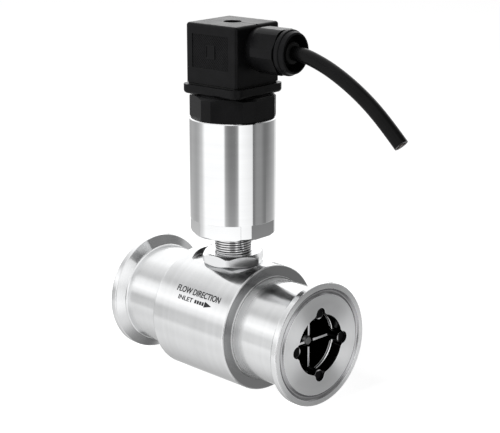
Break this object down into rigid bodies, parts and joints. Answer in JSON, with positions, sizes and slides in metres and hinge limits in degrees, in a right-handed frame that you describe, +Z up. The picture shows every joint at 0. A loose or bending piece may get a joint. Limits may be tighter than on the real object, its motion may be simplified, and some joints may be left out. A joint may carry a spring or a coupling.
{
  "type": "turbine flow meter",
  "caption": "In-line turbine flow meter with hygienic clamp ends, a bladed rotor between vane guides, and a steel pickup head with a square plug and cable.",
  "frame": {"origin": "centre of the inlet sealing face, on the pipe axis", "axes": "+X along the pipe in the direction of flow, +Z up the pickup head, +Y across, to the left when looking downstream"},
  "size_m": [0.1341, 0.0524, 0.1497],
  "materials": {
    "body_steel": "turned and polished stainless steel",
    "housing_steel": "polished stainless steel, satin",
    "nut_steel": "turned stainless steel",
    "guide_steel": "dull stainless steel",
    "spring_steel": "bright drawn wire",
    "rotor_steel": "milled magnetic stainless steel",
    "carbide": "ground hard metal",
    "magnet_nickel": "nickel plate",
    "winding_copper": "enamelled copper wire",
    "contact_plate": "tinned brass",
    "screw_steel": "zinc-plated steel",
    "black_polyamide": "fine moulded texture",
    "black_gloss": "semi-gloss moulding",
    "bobbin_plastic": "natural moulding",
    "board_green": "solder mask",
    "chip_black": "moulded epoxy",
    "capacitor_can": "sleeved can",
    "seal_rubber": "matt rubber",
    "grey_rubber": "matt rubber",
    "cable_jacket": "smooth flexible jacket",
    "core_insulation": "coloured insulation"
  },
  "bodies": {
    "meter": {"meter_body": "body_steel", "inlet_guide_hub": "guide_steel", "inlet_guide_vanes": "guide_steel", "inlet_bearing_bush": "carbide", "inlet_thrust_pad": "carbide", "inlet_retaining_ring": "spring_steel", "outlet_guide_hub": "guide_steel", "outlet_guide_vanes": "guide_steel", "outlet_bearing_bush": "carbide", "outlet_thrust_pad": "carbide", "outlet_retaining_ring": "spring_steel", "pickup_stem": "nut_steel", "lock_nut": "nut_steel", "coil_bobbin": "bobbin_plastic", "coil_winding": "winding_copper", "pole_piece": "rotor_steel", "pickup_magnet": "magnet_nickel", "pickup_leads": "core_insulation", "housing_shell": "housing_steel", "circuit_board": "board_green", "amplifier_chip": "chip_black", "smoothing_capacitor": "capacitor_can", "board_header": "black_polyamide", "connector_base": "black_gloss", "housing_seal_ring": "seal_rubber", "contact_blades": "contact_plate"},
    "rotor": {"rotor": "rotor_steel", "rotor_shaft": "carbide"},
    "plug": {"plug_gasket": "seal_rubber", "plug_cap": "black_polyamide", "terminal_block": "black_polyamide", "terminal_screws": "screw_steel", "screw_washer": "screw_steel", "fixing_screw": "screw_steel", "gland_seal": "grey_rubber", "gland_washer": "black_polyamide", "gland_nut": "black_gloss", "cable_tail": "cable_jacket", "cable": "cable_jacket", "cable_cores": "core_insulation"}
  },
  "joints": [
    {"name": "rotor_spin", "type": "hinge", "parent": "meter", "child": "rotor", "pos_m": [0.05, 0, 0], "axis": [1, 0, 0], "continuous": true},
    {"name": "plug_lift", "type": "slide", "parent": "meter", "child": "plug", "axis": [0, 0, 1], "range_m": [0, 0.025]}
  ]
}
